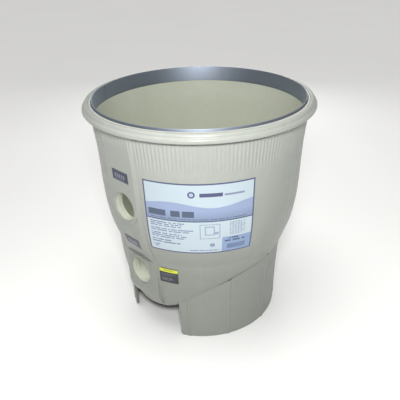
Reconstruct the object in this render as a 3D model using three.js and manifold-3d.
// Open lower tank of a pool filter: a moulded bowl with a rimmed mouth and two flat-faced
// plumbing ports, standing on a separate skirt that is cut away below the ports.
// A steel backing ring lines the mouth, with the tank's O-ring seated between it and the rim.
// A drain fitting hangs under the sump, inside the skirt, with a screw cap.
//
// Millimetres, +Z up, origin on the floor at the tank's axis, ports facing -Y.
// Directions round the tank are degrees from -Y towards +X.

import * as THREE from 'three';
import { mergeVertices } from 'three/addons/utils/BufferGeometryUtils.js';
import Module from 'manifold-3d';

const wasm = await Module();
wasm.setup();

// ---------- driving dimensions ----------

const ROUND = 64;                 // facets round the tank
const GAP = 0.4;                  // clearance between pieces that touch
const WALL = 8;                   // wall of the moulded bowl

const TANK_TOP = 615;             // crown of the rim
const RING_TOP = 619;             // steel ring, 4 mm proud of the rim
const RING_INNER_R = 267;
const RING_SHEET = 1.6;
const SOCKET_R = RING_INNER_R + RING_SHEET + GAP;
const SOCKET_FLOOR = 577.5;       // ledge that the ring stands on
const O_RING_SECTION_R = 3.4;
const O_RING_SHELF = 608.5;
const O_RING_SHELF_R = SOCKET_R + 2 * O_RING_SECTION_R + GAP;
const RIM_R = 293;

const SHOULDER_Z = 241;           // where the bowl meets the upright wall of the sump
const SUMP_R = 233;
const SUMP_CORNER = 40;           // how far the sump's lower corner turns inwards
const SUMP_LEAST_DROP = 33;
const SUMP_EXTRA_DROP = 112;      // more drop below the ports than round the back
const SUMP_FADE_ANGLE = 100;      // the extra drop has faded out this far round
const SUMP_FLOOR_Z = 85;
const JUNCTION_SHARE = 0.835;     // share of the corner's height passed where it meets the skirt

const PORT_HOLE_R = 35.5;
const PORT_LIP_R = 37.5;
const PORT_LIP_DEPTH = 3;
const PORT_BOSS_R = 46;
const PORT_BOSS_PROUD = 1.4;
const PORT_WALL = 20;             // moulded thickness round each port
const UPPER_PORT_Z = 394;
const LOWER_PORT_Z = 191;
const PANEL_HALF_WIDTH = 60;
const PANEL_BEVEL_RUN = 12;
const PANEL_BEVEL_DROP = 5;
const PANEL_BACK = 170;           // how deep the blocks behind the flat faces start

const SKIRT_WALL = 6;
const SKIRT_FOOT_R = 211;
const SKIRT_RIB_WIDTH = 9;
const SKIRT_RIB_PROUD = 1.8;
const OPENING_PLUS_FOOT = 99;      // the opening's sides, from the ports' axis towards +X and -X
const OPENING_PLUS_TOP = 97;
const OPENING_MINUS_X = 82;
const OPENING_CORNER = 12;
const SKIRT_RIB_ANGLES = [-163.5, -130, -96.5, -63.5, -34.6, 34.6, 63.5, 96.5, 130, 163.5];

const RING_SEAM_ANGLE = -65.5;

const LABEL_ANGLE = 44.2;
const LABEL_HALF_ANGLE = 28.3;
const LABEL_LOW = 301;
const LABEL_HIGH = 493;
const LABEL_SHEET = 0.6;
const SHEET_LIFT = 0.6;           // between a wrapped sheet and the faceted wall behind it

const DRAIN_Y = -50;
const DRAIN_BORE_R = 19;
const DRAIN_THREAD_R = 26;
const DRAIN_PAD_R = 48;
const DRAIN_PAD_LOW = 77;
const DRAIN_PAD_HIGH = 89;
const DRAIN_FLANGE_R = 40;
const DRAIN_FLANGE = 6;           // thickness of the spigot's flange
const DRAIN_GASKET = 2.6;
const SPIGOT_END_Z = 45;
const LOCK_NUT_LOW = 65;
const CAP_R = 33;
const CAP_LOW = 35;
const CAP_HIGH = 55;
const CAP_INSIDE_Z = 41;
const CAP_GRIP_R = 17;            // across the corners of its hexagon
const CAP_GRIP_LOW = 27;
const CAP_SEAL_R = 22.5;
const CAP_SEAL_SECTION_R = 1.55;

const PLACARD_SHEET = 0.6;
const UPPER_PLACARD = { low: 464.5, high: 491.5, halfWidth: 29 };
const LOWER_PLACARD = { low: 275, high: 303, halfWidth: 27.5 };
const CAUTION_FROM = 17.6;
const CAUTION_TO = 29.8;
const CAUTION_HEIGHTS = [190, 204, 219, 233];
const CAUTION_SHEET = 0.8;

const STRAP_HALF_ANGLE = 2.2;
const STRAP_SHEET = 1.2;
const STRAP_CLEAR = 0.6;          // between the ring's inner face and the strap

// ---------- outlines, as [radius, height] ----------

const WALL_OUTLINE = [
  [231, 243], [238, 262], [247, 289], [253.5, 315], [257.5, 341], [260.5, 366],
  [263, 410], [264.5, 454], [266, 490], [268, 527], [271, 557], [274.5, 590],
];
const BOWL_OUTLINE = [[0, 88], [70, 98], [125, 126], [175, 166], [215, 209]];
const RIM_OUTLINE = [
  [275, 594.5], [RIM_R - 1, 594.5], [RIM_R, 597], [RIM_R - 1.5, 603], [288.5, 608.5], [286, 610.5],
  [284, 613.2], [281.5, TANK_TOP], [277.5, TANK_TOP], [0, TANK_TOP],
];
const CAVITY_OUTLINE = [
  ...BOWL_OUTLINE.map(([r, z]) => [Math.max(0, r - WALL * 0.6), z + WALL * 0.8]),
  ...WALL_OUTLINE.filter(([, z], i) => z < SOCKET_FLOOR && i % 2 === 0).map(([r, z]) => [r - WALL, z]),
  [264, SOCKET_FLOOR], [SOCKET_R, SOCKET_FLOOR], [SOCKET_R, O_RING_SHELF],
  [O_RING_SHELF_R, O_RING_SHELF], [O_RING_SHELF_R, TANK_TOP + 10], [0, TANK_TOP + 10],
];
// The flattened strip that carries the ports, as [distance from the axis, height].
const PANEL_OUTLINE = [
  [228, 239], [236.5, 262], [245.8, 289], [252, 315], [256, 341], [259, 366],
  [261.5, 410], [263, 454], [264.5, 490], [266.5, 527], [269.5, 557], [272.5, 588],
];
const LOWER_PAD_OUTLINE = [[215, 100], [225, 120], [229.6, 142], [230, 238]];

// ---------- solids ----------

const radians = THREE.MathUtils.degToRad;

function solid(geometry) {
  const bare = geometry.index ? geometry.toNonIndexed() : geometry.clone();
  bare.deleteAttribute('normal');
  bare.deleteAttribute('uv');
  const merged = mergeVertices(bare, 1e-4);
  return new wasm.Manifold(new wasm.Mesh({
    numProp: 3,
    vertProperties: new Float32Array(merged.attributes.position.array),
    triVerts: new Uint32Array(merged.index.array),
  }));
}

function geometryOf(manifold) {
  const mesh = manifold.getMesh();
  const geometry = new THREE.BufferGeometry();
  geometry.setAttribute('position', new THREE.BufferAttribute(new Float32Array(mesh.vertProperties), 3));
  geometry.setIndex(new THREE.BufferAttribute(new Uint32Array(mesh.triVerts), 1));
  geometry.computeVertexNormals();
  return geometry;
}

// Turns an outline of [radius, height] about the Z axis. Outlines run upwards on their outer side.
function turned(outline, facets = ROUND) {
  const geometry = new THREE.LatheGeometry(outline.map(([r, z]) => new THREE.Vector2(r, z)), facets);
  return geometry.rotateX(Math.PI / 2);
}

function tube(outerR, innerR, low, high, facets = ROUND) {
  return turned([[innerR, low], [outerR, low], [outerR, high], [innerR, high], [innerR, low]], facets);
}

function disc(radius, low, high, facets = ROUND) {
  return turned([[0, low], [radius, low], [radius, high], [0, high]], facets);
}

// A closed body from rows of [radius, height], each a function of direction in degrees.
// The first row is the top point on the axis and the last one the bottom point.
function polarBody(rows, facets = ROUND) {
  const points = [];
  const faces = [];
  const put = (degrees, [r, z]) => {
    points.push(r * Math.sin(radians(degrees)), -r * Math.cos(radians(degrees)), z);
  };
  put(0, rows[0](0));
  const middle = rows.slice(1, -1);
  for (const row of middle) {
    for (let j = 0; j < facets; j++) {
      const degrees = -180 + 360 * j / facets;
      put(degrees, row(degrees));
    }
  }
  put(0, rows[rows.length - 1](0));
  const last = 1 + middle.length * facets;
  const at = (i, j) => 1 + i * facets + j % facets;
  for (let j = 0; j < facets; j++) {
    faces.push(0, at(0, j), at(0, j + 1));
    for (let i = 0; i < middle.length - 1; i++) {
      faces.push(at(i, j), at(i + 1, j), at(i + 1, j + 1));
      faces.push(at(i, j), at(i + 1, j + 1), at(i, j + 1));
    }
    faces.push(last, at(middle.length - 1, j + 1), at(middle.length - 1, j));
  }
  const geometry = new THREE.BufferGeometry();
  geometry.setAttribute('position', new THREE.Float32BufferAttribute(points, 3));
  geometry.setIndex(faces);
  return geometry;
}

// Extrudes a [distance towards -Y, height] outline sideways, centred on x = 0.
// A bevel slopes the outline inwards by `drop` over the last `run` of each end.
function slab(outline, halfWidth, run = 0, drop = 0) {
  const shape = new THREE.Shape(outline.map(([y, z]) => new THREE.Vector2(y, z)));
  const geometry = new THREE.ExtrudeGeometry(shape, {
    depth: 2 * (halfWidth - run),
    bevelEnabled: run > 0,
    bevelThickness: run,
    bevelSize: drop,
    bevelOffset: -drop,
    bevelSegments: 1,
  });
  geometry.translate(0, 0, -(halfWidth - run));
  // shape x -> -Y, shape y -> Z, depth -> X
  const axes = new THREE.Matrix4().makeBasis(
    new THREE.Vector3(0, -1, 0), new THREE.Vector3(0, 0, 1), new THREE.Vector3(-1, 0, 0));
  return geometry.applyMatrix4(axes);
}

function alongY(radius, nearY, farY, z, facets = 40) {
  const geometry = new THREE.CylinderGeometry(radius, radius, farY - nearY, facets);
  return geometry.translate(0, (nearY + farY) / 2, z);
}

function radiusAt(outline, height) {
  const i = Math.max(1, outline.findIndex(([, z]) => z >= height));
  const [r0, z0] = outline[i - 1];
  const [r1, z1] = outline[i];
  return r0 + (r1 - r0) * (height - z0) / (z1 - z0);
}

// ---------- the sump ----------

function sumpDrop(degrees) {
  const turn = Math.min(Math.abs(degrees) / SUMP_FADE_ANGLE, 1);
  const fade = Math.pow(0.5 + 0.5 * Math.cos(Math.PI * turn), 1.25);
  return (SUMP_LEAST_DROP + SUMP_EXTRA_DROP * fade) / JUNCTION_SHARE;
}

// Past the sides the sump draws in and stays hidden inside the round bowl.
function sumpRadius(degrees) {
  return SUMP_R - 25 * THREE.MathUtils.smoothstep(Math.abs(degrees), 80, 120);
}

// share runs from 0 at the shoulder to 1 where the corner has turned flat
function sumpPoint(degrees, share, inset = 0) {
  const turn = share * Math.PI / 2;
  const r = sumpRadius(degrees) - SUMP_CORNER * (1 - Math.cos(turn)) - inset;
  const z = SHOULDER_Z - sumpDrop(degrees) * Math.sin(turn);
  return [r, Math.max(z, SUMP_FLOOR_Z - 4) + inset];
}

function sumpBody(inset) {
  const side = inset > 0 ? [0, 0.3, 0.6, 1] : [0, 0.2, 0.4, 0.6, 0.8, 1];
  const centre = SUMP_FLOOR_Z + inset;
  return polarBody([
    () => [0, SHOULDER_Z + 6],
    (a) => [sumpRadius(a) - 5 - inset, SHOULDER_Z + 6],
    ...side.map((share) => (a) => sumpPoint(a, share, inset)),
    (a) => [140, THREE.MathUtils.lerp(centre, sumpPoint(a, 1, inset)[1], 0.6)],
    (a) => [70, THREE.MathUtils.lerp(centre, sumpPoint(a, 1, inset)[1], 0.2)],
    () => [0, centre],
  ]);
}

// ---------- tank shell ----------

// Everything in front of a flat face, as wide as its flat part.
function inFrontOf(face) {
  const low = face[0][1];
  const high = face[face.length - 1][1];
  return solid(slab([...face, [RIM_R + 20, high], [RIM_R + 20, low]], PANEL_HALF_WIDTH - PANEL_BEVEL_RUN));
}

// A flat face backed by solid material, with its sides sloping back to the round wall.
function facedBlock(face) {
  const low = face[0][1];
  const high = face[face.length - 1][1];
  return solid(slab([...face, [PANEL_BACK, high], [PANEL_BACK, low]], PANEL_HALF_WIDTH,
    PANEL_BEVEL_RUN, PANEL_BEVEL_DROP));
}

function tankOutside(grow = 0) {
  const outline = [...BOWL_OUTLINE, ...WALL_OUTLINE, ...RIM_OUTLINE];
  const round = solid(turned(outline.map(([r, z]) => [r > 0 ? r + grow : 0, z < 300 ? z - grow : z])));
  let body = round.add(solid(sumpBody(-grow)));
  for (const face of [PANEL_OUTLINE, LOWER_PAD_OUTLINE]) {
    body = body.subtract(inFrontOf(face)).add(facedBlock(face));
  }
  return body;
}

function port(z, face) {
  return {
    boss: solid(alongY(PORT_BOSS_R, -face - PORT_BOSS_PROUD, -face + PORT_WALL, z)),
    hole: solid(alongY(PORT_HOLE_R, -face - 20, -face + PORT_WALL + 20, z))
      .add(solid(alongY(PORT_LIP_R, -face - 20, -face - PORT_BOSS_PROUD + PORT_LIP_DEPTH, z))),
  };
}

const UPPER_PORT_FACE = radiusAt(PANEL_OUTLINE, UPPER_PORT_Z);
const LOWER_PORT_FACE = radiusAt(LOWER_PAD_OUTLINE, LOWER_PORT_Z);

function tankShell() {
  const ports = [port(UPPER_PORT_Z, UPPER_PORT_FACE), port(LOWER_PORT_Z, LOWER_PORT_FACE)];
  const drainPad = solid(disc(DRAIN_PAD_R, DRAIN_PAD_LOW, DRAIN_PAD_HIGH, 40)).translate(0, DRAIN_Y, 0);
  const spotFace = solid(disc(DRAIN_PAD_R, DRAIN_PAD_HIGH, DRAIN_PAD_HIGH + 30, 40))
    .translate(0, DRAIN_Y, 0);
  const drainHole = solid(disc(DRAIN_THREAD_R + 1, 0, DRAIN_PAD_HIGH + 10, 40)).translate(0, DRAIN_Y, 0);
  let shell = tankOutside().subtract(solid(turned(CAVITY_OUTLINE))).subtract(solid(sumpBody(WALL)));
  for (const { boss } of ports) shell = shell.add(boss);
  for (const { hole } of ports) shell = shell.subtract(hole);
  return shell.subtract(spotFace).add(drainPad).subtract(drainHole);
}

// ---------- base skirt ----------

function skirtOuterR(z) {
  return radiusAt([[SKIRT_FOOT_R, 0], [SKIRT_FOOT_R, 50], [214, 125], [218.4, 184], [222, 236]], z);
}

function baseSkirt() {
  const heights = [0, 50, 125, 184, 236];
  const ring = solid(turned([
    ...heights.map((z) => [skirtOuterR(z), z]),
    ...heights.reverse().map((z) => [skirtOuterR(z) - SKIRT_WALL, z]),
    [SKIRT_FOOT_R, 0],
  ]));
  const rib = (proud) => [0, 50, 125, 184, 230].map((z) => [skirtOuterR(z) + proud, z]);
  const ribShape = [...rib(SKIRT_RIB_PROUD), ...rib(-SKIRT_WALL / 2).reverse()];
  let skirt = ring;
  for (const degrees of SKIRT_RIB_ANGLES) {
    skirt = skirt.add(solid(slab(ribShape, SKIRT_RIB_WIDTH / 2)).rotate([0, 0, degrees]));
  }
  const opening = new THREE.Shape();
  opening.moveTo(-OPENING_MINUS_X - OPENING_CORNER, -1);
  opening.lineTo(-OPENING_MINUS_X - OPENING_CORNER, 0);
  opening.absarc(-OPENING_MINUS_X - OPENING_CORNER, OPENING_CORNER, OPENING_CORNER, -Math.PI / 2, 0, false);
  opening.lineTo(-OPENING_MINUS_X, 240);
  opening.lineTo(OPENING_PLUS_TOP, 240);
  opening.absarc(OPENING_PLUS_FOOT + OPENING_CORNER, OPENING_CORNER, OPENING_CORNER,
    Math.PI, 1.5 * Math.PI, false);
  opening.lineTo(OPENING_PLUS_FOOT + OPENING_CORNER, -1);
  const cutter = new THREE.ExtrudeGeometry(opening, { depth: 200, bevelEnabled: false, curveSegments: 5 });
  cutter.rotateX(Math.PI / 2).translate(0, -100, 0);
  return skirt.subtract(solid(cutter)).subtract(tankOutside(GAP));
}

// ---------- sheets on curved walls ----------

// A thin curved sheet between two directions, with a row at each height, on a wall of given radius.
function wrappedSheet(radiusOf, from, to, heights, thickness, across) {
  const points = [];
  const faces = [];
  const columns = across + 1;
  const up = heights.length - 1;
  const layer = columns * heights.length;
  for (const lift of [SHEET_LIFT, SHEET_LIFT + thickness]) {
    for (const z of heights) {
      for (let j = 0; j <= across; j++) {
        const degrees = from + (to - from) * j / across;
        const r = radiusOf(degrees, z) + lift;
        points.push(r * Math.sin(radians(degrees)), -r * Math.cos(radians(degrees)), z);
      }
    }
  }
  const at = (side, i, j) => side * layer + i * columns + j;
  const quad = (a, b, c, d) => faces.push(a, b, c, a, c, d);
  for (let i = 0; i < up; i++) {
    for (let j = 0; j < across; j++) {
      quad(at(1, i, j), at(1, i, j + 1), at(1, i + 1, j + 1), at(1, i + 1, j));
      quad(at(0, i, j), at(0, i + 1, j), at(0, i + 1, j + 1), at(0, i, j + 1));
    }
  }
  for (let j = 0; j < across; j++) {
    quad(at(0, 0, j), at(0, 0, j + 1), at(1, 0, j + 1), at(1, 0, j));
    quad(at(0, up, j), at(1, up, j), at(1, up, j + 1), at(0, up, j + 1));
  }
  for (let i = 0; i < up; i++) {
    quad(at(0, i, 0), at(1, i, 0), at(1, i + 1, 0), at(0, i + 1, 0));
    quad(at(0, i, across), at(0, i + 1, across), at(1, i + 1, across), at(1, i, across));
  }
  const geometry = new THREE.BufferGeometry();
  geometry.setAttribute('position', new THREE.Float32BufferAttribute(points, 3));
  geometry.setIndex(faces);
  return geometry;
}

// A thin plate that lies on the flattened strip, between two heights.
function panelPlate({ low, high, halfWidth }) {
  const heights = [low, (low + high) / 2, high];
  const face = (z, lift) => [radiusAt(PANEL_OUTLINE, z) + lift, z];
  return slab([
    ...heights.map((z) => face(z, GAP + PLACARD_SHEET)),
    ...heights.reverse().map((z) => face(z, GAP)),
  ], halfWidth);
}

// ---------- drain fitting ----------

function drainParts() {
  const shelf = DRAIN_PAD_HIGH + GAP;
  const flangeLow = shelf + DRAIN_GASKET + GAP;
  const spigot = solid(tube(DRAIN_THREAD_R, DRAIN_BORE_R, SPIGOT_END_Z, flangeLow + GAP, 32))
    .add(solid(tube(DRAIN_FLANGE_R, DRAIN_BORE_R, flangeLow, flangeLow + DRAIN_FLANGE, 32)));
  const gasket = solid(tube(DRAIN_FLANGE_R - 1, DRAIN_THREAD_R + 1, shelf, shelf + DRAIN_GASKET, 32));
  const nut = solid(disc(DRAIN_FLANGE_R, LOCK_NUT_LOW, DRAIN_PAD_LOW - GAP, 6))
    .subtract(solid(disc(DRAIN_THREAD_R + GAP, LOCK_NUT_LOW - 2, DRAIN_PAD_LOW + 2, 32)));
  const cap = solid(disc(CAP_R, CAP_LOW, CAP_HIGH, 32))
    .subtract(solid(disc(DRAIN_THREAD_R + GAP, CAP_INSIDE_Z, CAP_HIGH + 2, 32)))
    .add(solid(disc(CAP_GRIP_R, CAP_GRIP_LOW, CAP_LOW + 1, 6)));
  const sealZ = SPIGOT_END_Z - CAP_SEAL_SECTION_R - GAP + 0.05;
  const seal = new THREE.TorusGeometry(CAP_SEAL_R, CAP_SEAL_SECTION_R, 6, 24).translate(0, 0, sealZ);
  return { spigot, gasket, nut, cap, seal: solid(seal) };
}

// ---------- the assembly ----------

const MATERIALS = {
  shell: { color: 0xc9cbc2, roughness: 0.42, metalness: 0 },
  skirt: { color: 0xbfc2b8, roughness: 0.5, metalness: 0 },
  steel: { color: 0xb4bac4, roughness: 0.3, metalness: 1 },
  rubber: { color: 0x1c1d1f, roughness: 0.7, metalness: 0 },
  silicone: { color: 0xb6b7b0, roughness: 0.45, metalness: 0 },
  label: { color: 0xdde8f0, roughness: 0.35, metalness: 0 },
  placard: { color: 0x343a50, roughness: 0.4, metalness: 0 },
  caution: { color: 0xb7bf3c, roughness: 0.45, metalness: 0 },
  fitting: { color: 0x25272a, roughness: 0.45, metalness: 0 },
};

const tank = new THREE.Group();

function add(name, geometry, material, y = 0) {
  const mesh = new THREE.Mesh(geometry, new THREE.MeshStandardMaterial(MATERIALS[material]));
  mesh.name = name;
  mesh.position.y = y;
  tank.add(mesh);
}

add('tank_shell', geometryOf(tankShell()), 'shell');
add('base_skirt', geometryOf(baseSkirt()), 'skirt');

add('mouth_ring', tube(RING_INNER_R + RING_SHEET, RING_INNER_R, SOCKET_FLOOR + GAP, RING_TOP), 'steel');
add('ring_lap_strap', wrappedSheet(() => RING_INNER_R - STRAP_CLEAR - STRAP_SHEET - SHEET_LIFT,
  RING_SEAM_ANGLE - STRAP_HALF_ANGLE, RING_SEAM_ANGLE + STRAP_HALF_ANGLE,
  [SOCKET_FLOOR + 2.5, RING_TOP - 1], STRAP_SHEET, 3), 'steel');
add('tank_o_ring', new THREE.TorusGeometry(SOCKET_R + O_RING_SECTION_R + GAP / 2, O_RING_SECTION_R, 8, ROUND)
  .translate(0, 0, O_RING_SHELF + GAP + O_RING_SECTION_R), 'silicone');

const labelHeights = [
  LABEL_LOW,
  ...WALL_OUTLINE.map(([, z]) => z).filter((z) => z > LABEL_LOW && z < LABEL_HIGH),
  LABEL_HIGH,
];
add('main_label', wrappedSheet((a, z) => radiusAt(WALL_OUTLINE, z), LABEL_ANGLE - LABEL_HALF_ANGLE,
  LABEL_ANGLE + LABEL_HALF_ANGLE, labelHeights, LABEL_SHEET, 16), 'label');
add('upper_port_placard', panelPlate(UPPER_PLACARD), 'placard');
add('lower_port_placard', panelPlate(LOWER_PLACARD), 'placard');
add('caution_placard', wrappedSheet(
  (a, z) => sumpPoint(a, Math.asin(Math.min(1, (SHOULDER_Z - z) / sumpDrop(a))) * 2 / Math.PI)[0],
  CAUTION_FROM, CAUTION_TO, CAUTION_HEIGHTS, CAUTION_SHEET, 4), 'caution');

const drain = drainParts();
add('drain_spigot', geometryOf(drain.spigot), 'fitting', DRAIN_Y);
add('drain_gasket', geometryOf(drain.gasket), 'rubber', DRAIN_Y);
add('drain_lock_nut', geometryOf(drain.nut), 'fitting', DRAIN_Y);
add('drain_cap', geometryOf(drain.cap), 'fitting', DRAIN_Y);
add('drain_cap_o_ring', geometryOf(drain.seal), 'rubber', DRAIN_Y);

export default tank;
